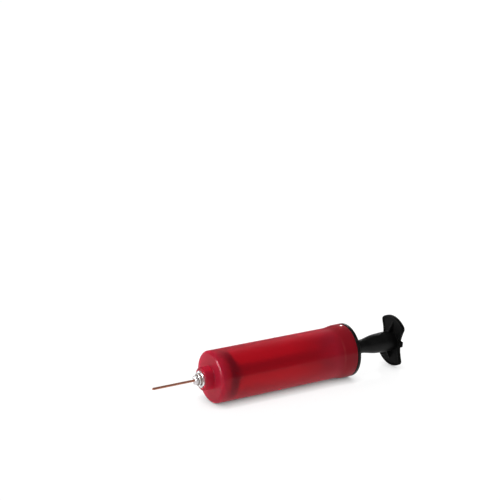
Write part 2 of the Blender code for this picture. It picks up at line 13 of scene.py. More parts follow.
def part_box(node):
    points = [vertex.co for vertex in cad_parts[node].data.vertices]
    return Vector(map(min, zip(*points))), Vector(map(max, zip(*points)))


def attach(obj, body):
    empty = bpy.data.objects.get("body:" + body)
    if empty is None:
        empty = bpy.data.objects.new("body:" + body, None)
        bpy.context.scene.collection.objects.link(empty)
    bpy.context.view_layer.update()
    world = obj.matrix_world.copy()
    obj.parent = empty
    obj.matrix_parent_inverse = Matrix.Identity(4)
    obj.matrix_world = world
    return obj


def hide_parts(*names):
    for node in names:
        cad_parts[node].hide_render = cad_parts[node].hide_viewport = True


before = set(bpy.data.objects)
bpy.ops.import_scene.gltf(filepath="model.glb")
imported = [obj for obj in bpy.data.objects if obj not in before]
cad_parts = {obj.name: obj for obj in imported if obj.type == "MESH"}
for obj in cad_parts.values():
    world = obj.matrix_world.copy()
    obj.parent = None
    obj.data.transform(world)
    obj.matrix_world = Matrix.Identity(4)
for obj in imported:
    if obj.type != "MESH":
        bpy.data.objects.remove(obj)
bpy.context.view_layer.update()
scene = bpy.context.scene
MM = 0.001
TAU = 2 * math.pi

S_BOSS = -6.6  # front end of the barrel's boss
X_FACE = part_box("barrel")[0].x - S_BOSS * MM
R_BARREL, R_COLLAR = 18.0, 19.0
R_BORE, R_SOCKET = 16.2, 17.45  # the barrel inside, and the wider recess at its back end
S_HUB_STEP = -9.6  # front face of the needle hub's flange
ROLL = math.radians(7.2)  # turn of the rod and the grip about the axis


def x_of(s):
    """A station in millimetres as an X in metres."""
    return X_FACE + s * MM


def rolled(y, z):
    c, s = math.cos(ROLL), math.sin(ROLL)
    return y * c - z * s, y * s + z * c


# ------------------------------------------------------------------ meshing
def arc_corner(before, corner, after, radius, segments):
    """An arc that replaces a corner; the radius shrinks where the sides are short."""
    in_x, in_y = before[0] - corner[0], before[1] - corner[1]
    out_x, out_y = after[0] - corner[0], after[1] - corner[1]
    in_length, out_length = math.hypot(in_x, in_y), math.hypot(out_x, out_y)
    in_x, in_y = in_x / in_length, in_y / in_length
    out_x, out_y = out_x / out_length, out_y / out_length
    angle = math.acos(max(-1.0, min(1.0, in_x * out_x + in_y * out_y)))
    reach = radius / math.tan(angle / 2)
    limit = 0.49 * min(in_length, out_length)
    if reach > limit:
        radius *= limit / reach
        reach = limit
    mid_x, mid_y = in_x + out_x, in_y + out_y
    mid_length = math.hypot(mid_x, mid_y)
    depth = radius / math.sin(angle / 2)
    cx, cy = corner[0] + mid_x / mid_length * depth, corner[1] + mid_y / mid_length * depth
    start_x, start_y = corner[0] + in_x * reach - cx, corner[1] + in_y * reach - cy
    end_x, end_y = corner[0] + out_x * reach - cx, corner[1] + out_y * reach - cy
    sweep = math.atan2(start_x * end_y - start_y * end_x, start_x * end_x + start_y * end_y)
    arc = []
    for k in range(segments + 1):
        turn = sweep * k / segments
        c, s = math.cos(turn), math.sin(turn)
        arc.append((cx + start_x * c - start_y * s, cy + start_x * s + start_y * c))
    return arc


def soften(points, default, segments):
    """Rounds each corner by its own third number, or by the default radius."""
    rounded = []
    for i, point in enumerate(points):
        radius = point[2] if len(point) > 2 else default
        if radius:
            after = points[(i + 1) % len(points)]
            rounded += arc_corner(points[i - 1], point, after, radius, segments)
        else:
            rounded.append((point[0], point[1]))
    return rounded


def divide(points, longest, closed):
    """Cuts long straight runs so that shading and displacement stay even."""
    divided = []
    n = len(points)
    for i in range(n if closed else n - 1):
        a, b = points[i], points[(i + 1) % n]
        divided.append(a)
        cuts = int(math.dist(a, b) / longest)
        for k in range(1, cuts + 1):
            t = k / (cuts + 1)
            divided.append((a[0] + (b[0] - a[0]) * t, a[1] + (b[1] - a[1]) * t))
    if not closed:
        divided.append(points[-1])
    return divided


def link(obj):
    scene.collection.objects.link(obj)
    return obj


def smooth(mesh, angle):
    mesh.shade_smooth()
    mesh.set_sharp_from_angle(angle=math.radians(angle))


def fix_normals(mesh, merge=None):
    """Points all faces outward, after merging vertices closer than merge."""
    body = bmesh.new()
    body.from_mesh(mesh)
    if merge:
        bmesh.ops.remove_doubles(body, verts=body.verts, dist=merge)
    bmesh.ops.recalc_face_normals(body, faces=body.faces)
    body.to_mesh(mesh)
    body.free()


def lathe(name, profile, steps, corner=0.0, segments=6, longest=None, closed=True,
          shape=None, sharp=32):
    """Turns (station, radius[, corner radius]) points about the pump axis.

    corner is the corner radius of points that give none, longest the longest straight run.
    shape(s, r, angle) may return another (s, r) for a point, which makes flats and threads.
    """
    points = soften(profile, corner, segments)
    if longest:
        points = divide(points, longest, closed)
    body = bmesh.new()
    rows = []
    for s, r in points:
        if r < 1e-6:
            rows.append([body.verts.new((x_of(s), 0, 0))] * steps)
            continue
        row = []
        for k in range(steps):
            angle = TAU * k / steps
            ss, rr = shape(s, r, angle) if shape else (s, r)
            y, z = rr * MM * math.cos(angle), rr * MM * math.sin(angle)
            row.append(body.verts.new((x_of(ss), y, z)))
        rows.append(row)
    count = len(rows)
    for i in range(count if closed else count - 1):
        a, b = rows[i], rows[(i + 1) % count]
        for k in range(steps):
            m = (k + 1) % steps
            ring = []
            for vert in (a[k], a[m], b[m], b[k]):
                if vert not in ring:
                    ring.append(vert)
            if len(ring) > 2:
                body.faces.new(ring)
    bmesh.ops.recalc_face_normals(body, faces=body.faces)
    mesh = bpy.data.meshes.new(name)
    body.to_mesh(mesh)
    body.free()
    smooth(mesh, sharp)
    return link(bpy.data.objects.new(name, mesh))


def along_axis(u, v, w):
    """Places a prism's section across the axis, turned with the rod and grip."""
    return (w, *rolled(u, v))


def extrude_loop(name, loop, low, high, place=along_axis):
    """A prism over a closed 2D loop; place(u, v, w) maps to millimetres (s, y, z)."""
    n = len(loop)
    verts = []
    for w in (low, high):
        for u, v in loop:
            s, y, z = place(u, v, w)
            verts.append((x_of(s), y * MM, z * MM))
    faces = [tuple(range(n)), tuple(range(2 * n - 1, n - 1, -1))]
    faces += [(i, (i + 1) % n, n + (i + 1) % n, n + i) for i in range(n)]
    mesh = bpy.data.meshes.new(name)
    mesh.from_pydata(verts, [], faces)
    fix_normals(mesh)
    smooth(mesh, 32)
    return link(bpy.data.objects.new(name, mesh))


def apply_all(obj):
    """Bakes an object's modifiers into its own mesh."""
    bpy.context.view_layer.update()
    graph = bpy.context.evaluated_depsgraph_get()
    mesh = bpy.data.meshes.new_from_object(obj.evaluated_get(graph))
    old = obj.data
    obj.modifiers.clear()
    obj.data = mesh
    bpy.data.meshes.remove(old)


def join_cut(obj, other, operation):
    """Adds another object to obj, or cuts it away, and removes it."""
    boolean = obj.modifiers.new("boolean", 'BOOLEAN')
    boolean.operation = operation
    boolean.solver = 'EXACT'
    boolean.object = other
    apply_all(obj)
    bpy.data.objects.remove(other, do_unlink=True)


def drill(obj, name, radius, low, high, steps):
    """Cuts a round hole on the axis between two stations."""
    profile = [(high, 0.0), (high, radius), (low, radius), (low, 0.0)]
    join_cut(obj, lathe(name, profile, steps, closed=False), 'DIFFERENCE')


# ---------------------------------------------------------------- materials
class Shader:
    """Short ways to add nodes to a tree; every value may be a number or a socket."""

    def __init__(self, tree):
        self.tree = tree

    def feed(self, socket, value):
        if isinstance(value, bpy.types.NodeSocket):
            self.tree.links.new(value, socket)
        elif socket.type == 'RGBA' and len(value) == 3:
            socket.default_value = (*value, 1)
        else:
            socket.default_value = value

    def node(self, kind, inputs, **settings):
        node = self.tree.nodes.new(kind)
        for key, value in settings.items():
            setattr(node, key, value)
        for key, value in inputs.items():
            self.feed(node.inputs[key], value)
        return node

    def axes(self, vector):
        return self.node("ShaderNodeSeparateXYZ", {0: vector}).outputs

    def remap(self, value, span, to, **settings):
        """Maps the span of a value to another pair of values, clamped."""
        inputs = {"From Min": span[0], "From Max": span[1],
                  "To Min": to[0], "To Max": to[1], "Value": value}
        return self.node("ShaderNodeMapRange", inputs, **settings).outputs["Result"]

    def math(self, operation, *values):
        inputs = dict(enumerate(values))
        return self.node("ShaderNodeMath", inputs, operation=operation).outputs[0]

    def times(self, a, b):
        return self.math('MULTIPLY', a, b)


class Material(Shader):
    """A procedural material around a Principled BSDF, in object coordinates."""

    def __init__(self, name):
        self.material = bpy.data.materials.new(name)
        self.material.use_nodes = True
        super().__init__(self.material.node_tree)
        self.principled = self.tree.nodes["Principled BSDF"]
        self.coord = self.node("ShaderNodeTexCoord", {}).outputs["Object"]

    def set(self, **values):
        for key, value in values.items():
            self.feed(self.principled.inputs[key.replace("_", " ")], value)

    def noise(self, scale, detail=4.0, rough=0.5, stretch=(1, 1, 1)):
        mapping = self.node("ShaderNodeMapping", {"Scale": stretch, "Vector": self.coord})
        return self.node("ShaderNodeTexNoise", {
            "Scale": scale, "Detail": detail, "Roughness": rough,
            "Vector": mapping.outputs["Vector"]}).outputs["Fac"]

    def ramp(self, fac, stops):
        """Colours by position: stops maps a position to a colour."""
        node = self.node("ShaderNodeValToRGB", {"Fac": fac})
        node.color_ramp.interpolation = 'EASE'
        elements = node.color_ramp.elements
        while len(elements) < len(stops):
            elements.new(0.5)
        for element, (position, colour) in zip(elements, stops.items()):
            element.position = position
            element.color = (*colour, 1)
        return node.outputs["Color"]

    def along(self, x, stations, to):
        """Fades between two values over two stations."""
        return self.remap(x, span=[x_of(s) for s in stations], to=to)

    def offset(self, value, centre):
        return self.math('ABSOLUTE', self.math('SUBTRACT', value, centre))

    def bump(self, height, strength, distance):
        return self.node("ShaderNodeBump", {
            "Strength": strength, "Distance": distance, "Height": height}).outputs["Normal"]

    def mix(self, fac, a, b):
        return self.node("ShaderNodeMix", {0: fac, 6: a, 7: b}, data_type='RGBA').outputs[2]

    def edge(self, radius):
        """0 on flat ground, rising on tight edges."""
        bevel = self.node("ShaderNodeBevel", {"Radius": radius}, samples=4)
        geometry = self.node("ShaderNodeNewGeometry", {})
        dot = self.node("ShaderNodeVectorMath", {
            0: bevel.outputs["Normal"], 1: geometry.outputs["Normal"]},
            operation='DOT_PRODUCT')
        return self.remap(dot.outputs["Value"], span=(0.75, 0.995), to=(1.0, 0.0))


def scaled(colour, factor):
    return tuple(c * factor for c in colour)


def barrel_material():
    """Glossy translucent dark red plastic."""
    mat = Material("translucent_red_plastic")
    cloud = mat.noise(scale=22, detail=3, rough=0.55, stretch=(0.35, 1, 1))
    flow = mat.noise(scale=140, detail=3, stretch=(0.08, 1, 1))
    depth = mat.math('ADD', mat.times(cloud, 0.7), mat.times(flow, 0.3))
    red = mat.ramp(depth, {
        0.25: (0.575, 0.022, 0.050), 0.5: (0.625, 0.025, 0.056), 0.78: (0.675, 0.028, 0.062)})
    x, _, z = mat.axes(mat.coord)
    # painted light: the front wall and boss are painted a pinker red, in place of the light and
    # reflection their faces catch
    red = mat.mix(mat.along(x, (0.3, 6.0), to=(1.0, 0.0)), red, (0.66, 0.028, 0.072))
    # painted shade: the red is darkened over the collar's double wall, in place of the shade of
    # the black cap's plug seen through it
    red = mat.mix(mat.along(x, (92.0, 100.0), to=(0.0, 1.0)), red, (0.46, 0.016, 0.030))
    # painted reflection: a faint, broken pale ring near the step inside the collar, about mid
    # height, in place of a reflected line of light on the collar's curve
    ring = mat.times(
        mat.remap(mat.offset(x, x_of(98.2)), span=(0.0002, 0.0012), to=(0.16, 0.0)),
        mat.remap(mat.noise(scale=45, detail=3, rough=0.6), span=(0.42, 0.6), to=(0.2, 1.0)))
    ring = mat.times(ring, mat.remap(mat.offset(z, 0.003), span=(0.005, 0.012), to=(1.0, 0.0)))
    # the plastic clears behind the front wall and clouds again toward the collar
    clear = mat.times(mat.along(x, (2.0, 8.5), to=(0.64, 0.88)),
                      mat.along(x, (72.0, 98.0), to=(1.0, 0.74)))
    scuff = mat.noise(scale=300, rough=0.6, stretch=(0.2, 1, 1))
    wave = mat.noise(scale=45, detail=2, stretch=(0.2, 1, 1))
    mat.set(
        # the base colour carries the painted pinker front, the painted collar shade and the
        # painted reflection ring
        Base_Color=mat.mix(ring, red, (0.85, 0.16, 0.17)),
        IOR=1.16, Specular_IOR_Level=0.03, Specular_Tint=(1.0, 0.25, 0.5),
        Coat_Weight=0.23, Coat_Roughness=0.05, Coat_IOR=1.45,
        Transmission_Weight=clear,
        Roughness=mat.remap(scuff, span=(0.35, 0.65), to=(0.50, 0.58)),
        Coat_Normal=mat.bump(wave, strength=0.04, distance=0.0001))
    return mat.material


def black_plastic(name, base, rough, grain, strength, level, matt_and_shade=None):
    """Black moulded plastic of a base brightness.

    The four stations of the last argument: over the first two the plastic turns dull and is
    painted darker as painted shade, over the others it turns glossy and full bright again.
    """
    mat = Material(name)
    black = (base, base, base)
    cloud = mat.noise(scale=90, rough=0.6)
    worn = mat.edge(radius=0.0005)
    colour = mat.ramp(cloud, {0.3: black, 0.75: scaled(black, 1.9)})
    patches = mat.noise(scale=500, detail=5, rough=0.7)
    rub = mat.times(worn, mat.remap(patches, span=(0.4, 0.75), to=(0.0, 1.0)))
    colour = mat.mix(rub, colour, scaled(black, 5))
    mat.set(IOR=1.5, Specular_IOR_Level=level)
    if matt_and_shade:
        x = mat.axes(mat.coord)["X"]
        satin_and_lit = mat.along(x, matt_and_shade[:2], to=(1.0, 0.2))
        satin_and_lit = mat.math('MAXIMUM', satin_and_lit, mat.along(x, matt_and_shade[2:], to=(0.2, 1.0)))
        mat.set(Specular_IOR_Level=mat.times(satin_and_lit, level))
        # painted shade: where the plastic is dull its colour is also pulled to half as dark
        colour = mat.mix(satin_and_lit, scaled(black, 0.5), colour)
    mat.set(
        Base_Color=colour,
        Roughness=mat.remap(mat.noise(scale=320, rough=0.6), span=(0.3, 0.7), to=rough),
        Normal=mat.bump(mat.noise(scale=grain, detail=3, rough=0.6), strength, 0.00004))
    return mat.material


def metal(name, colour, rough, grain, strength, stretch=(1, 1, 1), stain=None, metallic=1.0,
          ring=None):
    """Clouded metal with a fine grain, stained in spots; ring is the station of a painted shade.
    """
    mat = Material(name)
    cloud = mat.noise(scale=260, rough=0.6)
    surface = mat.ramp(cloud, {0.3: scaled(colour, 0.82), 0.7: colour})
    if stain:
        spots = mat.noise(scale=700, detail=5, rough=0.65, stretch=(0.5, 1, 1))
        surface = mat.mix(mat.remap(spots, span=(0.48, 0.66), to=(0.0, 1.0)), surface, stain)
    if ring:
        # painted shade: a dark brown band in the corner between two turned steps, where shade
        # falls
        x, y, z = mat.axes(mat.coord)
        off = mat.offset(x, x_of(ring))
        reach = mat.math('SQRT', mat.math('ADD', mat.times(y, y), mat.times(z, z)))
        corner_shade = mat.times(mat.remap(off, span=(0.0002, 0.0004), to=(1.0, 0.0)),
                         mat.remap(reach, span=(0.0037, 0.00395), to=(1.0, 0.0)))
        surface = mat.mix(mat.times(corner_shade, 0.9), surface, (0.12, 0.085, 0.05))
    lines = mat.noise(scale=grain, detail=3, stretch=stretch)
    mat.set(
        Metallic=metallic, Base_Color=surface,
        Roughness=mat.remap(lines, span=(0.3, 0.7), to=rough),
        Normal=mat.bump(lines, strength, distance=0.00002))
    return mat.material


def rubber(name, base, rough):
    mat = Material(name)
    cloud = mat.noise(scale=300, rough=0.6)
    mat.set(
        Base_Color=mat.ramp(cloud, {
            0.3: (base, base, base), 0.75: (base * 2, base * 1.95, base * 1.9)}),
        Roughness=mat.remap(cloud, span=(0.3, 0.7), to=rough),
        Normal=mat.bump(mat.noise(scale=2200, detail=2), strength=0.3, distance=0.00003))
    return mat.material


def nylon(name):
    mat = Material(name)
    colour = (0.66, 0.64, 0.585)
    cloud = mat.noise(scale=200, detail=3)
    mat.set(
        Base_Color=mat.ramp(cloud, {0.3: scaled(colour, 0.9), 0.7: colour}),
        Roughness=mat.remap(cloud, span=(0.3, 0.7), to=(0.38, 0.52)),
        Subsurface_Weight=0.15, Subsurface_Scale=0.002,
        Normal=mat.bump(mat.noise(scale=1500, detail=2), strength=0.15, distance=0.00003))
    return mat.material


def fibre(name):
    mat = Material(name)
    strands = mat.noise(scale=1400, detail=5, rough=0.7, stretch=(1, 1, 0.25))
    mat.set(
        Base_Color=mat.ramp(strands, {0.3: (0.12, 0.045, 0.025), 0.7: (0.30, 0.15, 0.09)}),
        Roughness=0.8,
        Normal=mat.bump(strands, strength=0.5, distance=0.00005))
    return mat.material


RED = barrel_material()
# the pad's barrel-facing front and the neck just ahead of it get less sheen and painted shade
GRIP = black_plastic("grip_black_plastic", base=0.0045, rough=(0.36, 0.50), grain=2400,
                     strength=0.3, level=0.12, matt_and_shade=(142.0, 148.0, 151.7, 152.3))
CAP = black_plastic("cap_black_plastic", base=0.0035, rough=(0.26, 0.40), grain=3200,
                    strength=0.15, level=0.15)
BACKING = black_plastic("backing_black_plastic", base=0.004, rough=(0.34, 0.5), grain=2400,
                        strength=0.2, level=0.15)
NICKEL = metal("bright_nickel", colour=(0.84, 0.85, 0.86), rough=(0.16, 0.28), grain=700,
               strength=0.10, stretch=(3, 1, 1), metallic=0.6)
# the hub gets painted shade in the corner at its flange step
HUB = metal("dull_nickel", colour=(0.75, 0.725, 0.74), rough=(0.24, 0.40), grain=600,
            strength=0.15, stretch=(4, 1, 1), stain=(0.50, 0.44, 0.42), metallic=0.45,
            ring=S_HUB_STEP)
TUBE = metal("drawn_bronze_tube", colour=(0.47, 0.18, 0.105), rough=(0.28, 0.45), grain=1800,
             strength=0.25, stretch=(0.05, 1, 1), stain=(0.38, 0.13, 0.08), metallic=0.6)
STEEL = metal("zinc_steel", colour=(0.62, 0.63, 0.66), rough=(0.2, 0.36), grain=900,
              strength=0.12)
RUBBER = rubber("soft_black_rubber", base=0.014, rough=(0.42, 0.6))
SEAL = rubber("greased_black_rubber", base=0.010, rough=(0.25, 0.42))
NYLON = nylon("natural_nylon")
FIBRE = fibre("brown_fibre")


def coat(obj, material):
    obj.data.materials.clear()
    obj.data.materials.append(material)


def fit(obj, body, node, material):
    """Puts a finished piece in the place of its CAD node."""
    coat(obj, material)
    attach(obj, body)
    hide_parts(node)


def turned(node, body, slot, material, profile, steps, **shaping):
    """A lathed piece, fitted in one go."""
    obj = lathe(node + "_fine", profile, steps, **shaping)
    fit(obj, body, node, material)


# All profiles below are (station, radius[, corner radius]).
# ------------------------------------------------------------------- barrel
S_END = (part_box("barrel")[1].x - X_FACE) / MM
S_FLARE_BACK, FLARE_LENGTH, FLARE_STEPS = 104.0, 9.0, 24


def flare(t):
    """The collar's S-shaped flare, from the collar (0) forward to the barrel (1)."""
    rise = 0.5 * (1 + math.cos(math.pi * t))
    return S_FLARE_BACK - FLARE_LENGTH * t, R_BARREL + (R_COLLAR - R_BARREL) * rise


barrel = [(S_END, R_SOCKET + 0.3, 0.12), (S_END, R_COLLAR, 0.45)]
barrel += [flare(k / FLARE_STEPS) for k in range(FLARE_STEPS + 1)]
barrel += [
    (0.0, R_BARREL, 2.3), (0.0, 8.4, 0.25), (-0.35, 8.02, 0.2),
    (S_BOSS, 7.95, 0.7), (S_BOSS, 4.95, 0.15),
    (0.1, 4.95), (0.1, 3.4, 0.1), (2.6, 3.4, 0.1), (2.6, 1.1, 0.1), (4.0, 1.1, 0.1),
    (4.0, 6.6, 0.5), (2.5, 6.9, 0.4), (2.5, R_BORE, 1.1),
    (99.4, R_BORE, 0.15), (99.6, R_SOCKET, 0.1), (S_END - 0.35, R_SOCKET),
]
fit(lathe("barrel_shell", barrel, 192, segments=8, longest=3.0),
    "barrel", "barrel", RED)

# ------------------------------------------------------------ nozzle ferrule
HEX_HALF = 10.9 / 2  # half of the size across flats
HEX_CORNER = HEX_HALF * 1.10  # radius of the blunted corners
HEX_TURN = math.radians(14)


def hex_shape(s, r, angle):
    """Cuts the ferrule's head, ahead of the boss, to a hexagon."""
    if r <= 5.3 or s > S_BOSS:
        return s, r
    from_flat = (angle - HEX_TURN) % (math.pi / 3) - math.pi / 6
    side = min(HEX_HALF / math.cos(from_flat), HEX_CORNER)
    return s, min(r, side - (0.08 if s < -7.8 else 0.0))


turned("nozzle_ferrule", "barrel", "ferrule", NICKEL, [
    (-2.2, 3.95), (-2.2, 4.55, 0.1), (-2.5, 4.7), (-6.68, 4.7), (-6.68, 5.9, 0.05),
    (-6.85, 6.1), (-7.55, 6.1), (-7.9, 5.6, 0.12), (-7.9, 4.2, 0.1), (-7.6, 3.88, 0.1),
], 240, segments=4, longest=0.5, shape=hex_shape, sharp=20)

# -------------------------------------------------------------- nozzle parts
turned("nozzle_gasket", "barrel", "soft_rubber", RUBBER,
       [(-1.2, 1.7), (-1.2, 4.6), (-1.9, 4.6), (-1.9, 1.7)], 96, corner=0.15, segments=4)
coat(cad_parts["valve_cage"], NYLON)
turned("valve_disc", "valve", "soft_rubber", RUBBER,
       [(2.3, 0.0), (2.3, 2.75, 0.15), (1.4, 2.75, 0.15), (1.4, 0.0)],
       96, segments=4, closed=False)

# ------------------------------------------------------------------- needle
turned("needle_washer", "needle_seat", "fibre", FIBRE,
       [(-8.05, 3.05), (-8.05, 4.15), (-8.45, 4.15), (-8.45, 3.05)],
       120, corner=0.1, segments=4)

PITCH = 25.4 / 32
THREAD_FRONT, THREAD_BACK, THREAD_FADE = -7.32, -2.7, 0.4


def hub_thread(s, r, angle):
    """A V thread on the shank, with flattened crests and roots, fading at both ends."""
    if r < 3.3 or not THREAD_FRONT < s < THREAD_BACK:
        return s, r
    phase = (s / PITCH - angle / TAU) % 1.0
    crest = 1 - abs(2 * phase - 1)
    height = max(0.0, min(1.0, crest * 1.3 - 0.15))
    fade = min(1.0, (s - THREAD_FRONT) / THREAD_FADE, (THREAD_BACK - s) / THREAD_FADE)
    return s, r - 0.22 + 0.38 * height * max(0.0, fade)


turned("needle_hub", "needle", "hub", HUB, [
    (-2.4, 1.35, 0.1), (-2.4, 3.1, 0.1), (-2.75, 3.45, 0.1), (-7.3, 3.45), (-7.5, 2.85, 0.1),
    (-8.6, 2.85, 0.1), (-8.6, 4.12, 0.12), (S_HUB_STEP, 4.12, 0.25), (S_HUB_STEP, 3.05, 0.2),
    (-11.7, 3.02, 0.3), (-11.9, 2.6, 0.2), (-11.9, 0.95, 0.05), (-5.8, 0.95), (-5.8, 1.35),
], 120, segments=4, longest=0.09, shape=hub_thread, sharp=40)

S_TIP = (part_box("needle_tube")[0].x - X_FACE) / MM
S_TUBE_BACK, R_TUBE, R_TUBE_BORE = -6.2, 0.8, 0.5
TIP_LENGTH, TIP_STEPS = 1.1, 12  # rounded tip
VENT_RADIUS, VENT_DEPTH = 0.32, 2.4


def needle_tube():
    """A tube with a rounded, closed tip and a vent through the top of its wall."""
    profile = [(S_TUBE_BACK, R_TUBE)]
    for k in range(TIP_STEPS + 1):
        t = math.radians(90 * k / TIP_STEPS)
        radius = R_TUBE * math.cos(t) if k < TIP_STEPS else 0.0
        profile.append((S_TIP + TIP_LENGTH - TIP_LENGTH * math.sin(t), radius))
    profile += [(S_TIP + 1.4, 0.0), (S_TIP + 1.6, R_TUBE_BORE), (S_TUBE_BACK, R_TUBE_BORE),
                (S_TUBE_BACK, R_TUBE)]
    tube = lathe("needle_tube_fine", profile, 48, longest=1.5, closed=False)
    fix_normals(tube.data, merge=1e-7)
    mesh = bpy.data.meshes.new("vent")
    body = bmesh.new()
    bmesh.ops.create_cone(body, cap_ends=True, segments=24, radius1=VENT_RADIUS * MM,
                          radius2=VENT_RADIUS * MM, depth=VENT_DEPTH * MM)
    bmesh.ops.translate(body, vec=(x_of(S_TIP + 3.0), 0.0, VENT_DEPTH / 2 * MM),
                        verts=body.verts)
    body.to_mesh(mesh)
    body.free()
    join_cut(tube, link(bpy.data.objects.new("vent", mesh)), 'DIFFERENCE')
    smooth(tube.data, 40)
    return tube


fit(needle_tube(), "needle", "needle_tube", TUBE)

# ------------------------------------------------------------------ end cap
turned("end_cap", "barrel", "cap", CAP, [
    (111.1, 5.3, 0.35), (111.1, 6.9), (110.85, 7.15), (110.85, 15.6), (111.1, 15.9),
    (111.1, R_COLLAR, 0.6), (108.7, R_COLLAR, 0.2),
    (108.7, 17.1, 0.1), (100.6, 17.1, 0.1), (100.0, 16.6, 0.1), (100.0, 15.6, 0.2),
    (107.0, 15.6, 0.4), (107.0, 7.7, 0.4), (101.0, 7.7, 0.3), (101.0, 6.35, 0.2),
    (109.1, 6.35, 0.1), (109.1, 5.3, 0.1),
], 192, longest=2.0)
turned("rod_bush", "barrel", "white_plastic", NYLON,
       [(108.8, 5.15), (108.8, 6.1), (101.4, 6.1), (101.4, 5.15)],
       128, corner=0.25, segments=4, longest=2.0)

# ------------------------------------------------------------------- piston
R_PISTON_HOLE = 3.75
turned("piston_seal", "seal", "seal", SEAL, [
    (13.8, R_PISTON_HOLE, 0.1), (13.8, 16.05, 0.7), (10.5, 16.05, 0.3), (10.2, 15.75, 0.15),
    (10.2, 14.9, 0.3), (12.4, 14.1, 0.6), (12.4, R_PISTON_HOLE, 0.1),
], 160, segments=5, longest=1.5)
turned("piston_head", "plunger", "white_plastic", NYLON, [
    (12.1, R_PISTON_HOLE), (12.1, 10.8, 0.2), (11.6, 11.3, 0.2), (10.2, 11.3, 0.3),
    (9.9, 11.0, 0.2), (9.9, R_PISTON_HOLE),
], 128, segments=4, longest=1.5)
turned("piston_back", "plunger", "backing", BACKING, [
    (16.3, R_PISTON_HOLE), (16.3, 10.0, 0.3), (14.9, 12.4, 0.3), (14.1, 12.4, 0.2),
    (14.1, R_PISTON_HOLE),
], 128, segments=4, longest=1.5)
turned("stop_bumper", "plunger", "soft_rubber", RUBBER,
       [(21.0, 5.1, 0.3), (21.0, 7.6, 0.9), (18.9, 7.6, 0.9), (18.9, 5.1, 0.3)], 96)
turned("piston_washer", "plunger", "steel", STEEL,
       [(9.3, 1.8), (9.3, 5.2), (8.6, 5.2), (8.6, 1.8)], 96, corner=0.12, segments=4)

# ------------------------------------------------------------------- screws
R_SHANK, R_ROOT, THREAD_HEIGHT = 1.30, 1.02, 0.30
SCREW_PITCH, SCREW_ROW = 1.1, 0.08  # thread pitch, and spacing of the mesh rows
SLOT_HALF = 0.32  # half width of the cross recess


def pan_screw(name, underside, crown, head_radius, tip):
    """A pan-head self-tapping screw, from the stations of its head and its tip."""
    direction = math.copysign(1, tip - underside)
    length = abs(tip - underside)
    height = crown - underside
    points = []
    for k in range(9):
        t = math.radians(90 * k / 8)
        points.append((crown - height * 0.55 * (1 - math.cos(t)), head_radius * math.sin(t)))
    points.append((underside, head_radius - 0.05))
    rows = int(length / SCREW_ROW)
    points += [(underside + (tip - underside) * k / rows, R_SHANK) for k in range(rows)]
    points.append((tip, 0.0))

    def screw_thread(s, r, angle):
        along = abs(s - underside)
        if r != R_SHANK or along < 0.3:
            return s, r
        phase = (along / SCREW_PITCH - direction * angle / TAU) % 1.0
        crest = max(0.0, 1 - abs(2 * phase - 1) * 3.0)
        taper = min(1.0, (length - along) / 1.4)
        return s, (R_ROOT + THREAD_HEIGHT * crest) * max(0.05, taper)

    obj = lathe(name, points, 72, closed=False, shape=screw_thread, sharp=38)
    arm = head_radius * 0.52
    low, high = sorted((crown - height * 0.62, crown + height * 0.6))
    for y, z in ((arm, SLOT_HALF), (SLOT_HALF, arm)):
        loop = [(-y, -z), (y, -z), (y, z), (-y, z)]
        cutter = extrude_loop(name + "_cut", loop, low, high, lambda u, v, w: (w, u, v))
        join_cut(obj, cutter, 'DIFFERENCE')
    smooth(obj.data, 32)
    return obj


piston_screw = pan_screw(
    "piston_screw_fine", underside=8.3, crown=6.35, head_radius=3.1, tip=18.4)
fit(piston_screw, "plunger", "piston_screw", STEEL)

# ---------------------------------------------------------------- plunger rod
R_ROD, RIB_HALF, R_DISC = 4.8, 0.85, 4.65  # ribs, and the discs that end them
S_RIBS_FRONT, S_RIBS_BACK = 17.0, 112.1


def rod_section():
    """A plus-shaped section with rounded roots and edges."""
    fillet, edge = 0.35, 0.25
    tip = math.sqrt(R_ROD * R_ROD - RIB_HALF * RIB_HALF)
    rib = [(RIB_HALF, -RIB_HALF, fillet), (tip, -RIB_HALF, edge)]
    for part in (-0.5, 0.0, 0.5):
        angle = math.asin(RIB_HALF / R_ROD) * part
        rib.append((R_ROD * math.cos(angle), R_ROD * math.sin(angle), 0.0))
    rib.append((tip, RIB_HALF, edge))
    section = []
    for k in range(4):
        turn = math.pi / 2 * k
        c, s = math.cos(turn), math.sin(turn)
        section += [(x * c - y * s, x * s + y * c, radius) for x, y, radius in rib]
    return soften(section, 0.0, 3)


rod = extrude_loop("plunger_rod_fine", rod_section(), S_RIBS_FRONT, S_RIBS_BACK)
ROD_ENDS = {
    "rod_front": [(18.6, 0.0), (18.6, R_DISC, 0.2), (16.6, R_DISC, 0.2), (16.6, 3.5, 0.1),
                  (9.6, 3.5, 0.2), (9.6, 0.0)],
    "rod_rear": [(146.0, 0.0), (146.0, 2.5, 0.1), (145.6, 2.9, 0.1), (S_RIBS_BACK, 2.9),
                 (S_RIBS_BACK, R_DISC, 0.2), (110.2, R_DISC, 0.2), (110.2, 0.0)],
}
rod_ends = [lathe(name, profile, 96, segments=3, closed=False)
            for name, profile in ROD_ENDS.items()]
for rod_end in rod_ends:
    join_cut(rod, rod_end, 'UNION')
for low, high in ((5.0, 20.0), (134.0, 150.0)):
    drill(rod, "rod_hole", 1.65, low, high, steps=48)
smooth(rod.data, 30)
fit(rod, "plunger", "plunger_rod", NYLON)

# --------------------------------------------------------------------- grip
S_PAD = 150.0  # front face of the grip's pad
S_REAR = (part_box("handle")[1].x - X_FACE) / MM
R_GRIP, CORNER, WAIST = 18.6, math.radians(43.1), (9.5, 2.4)
CORNER_BLEND = 1.8  # reach of the rounding to each side of a corner
ARC_STEPS, SIDE_STEPS, BLEND_STEPS = 40, 30, 10


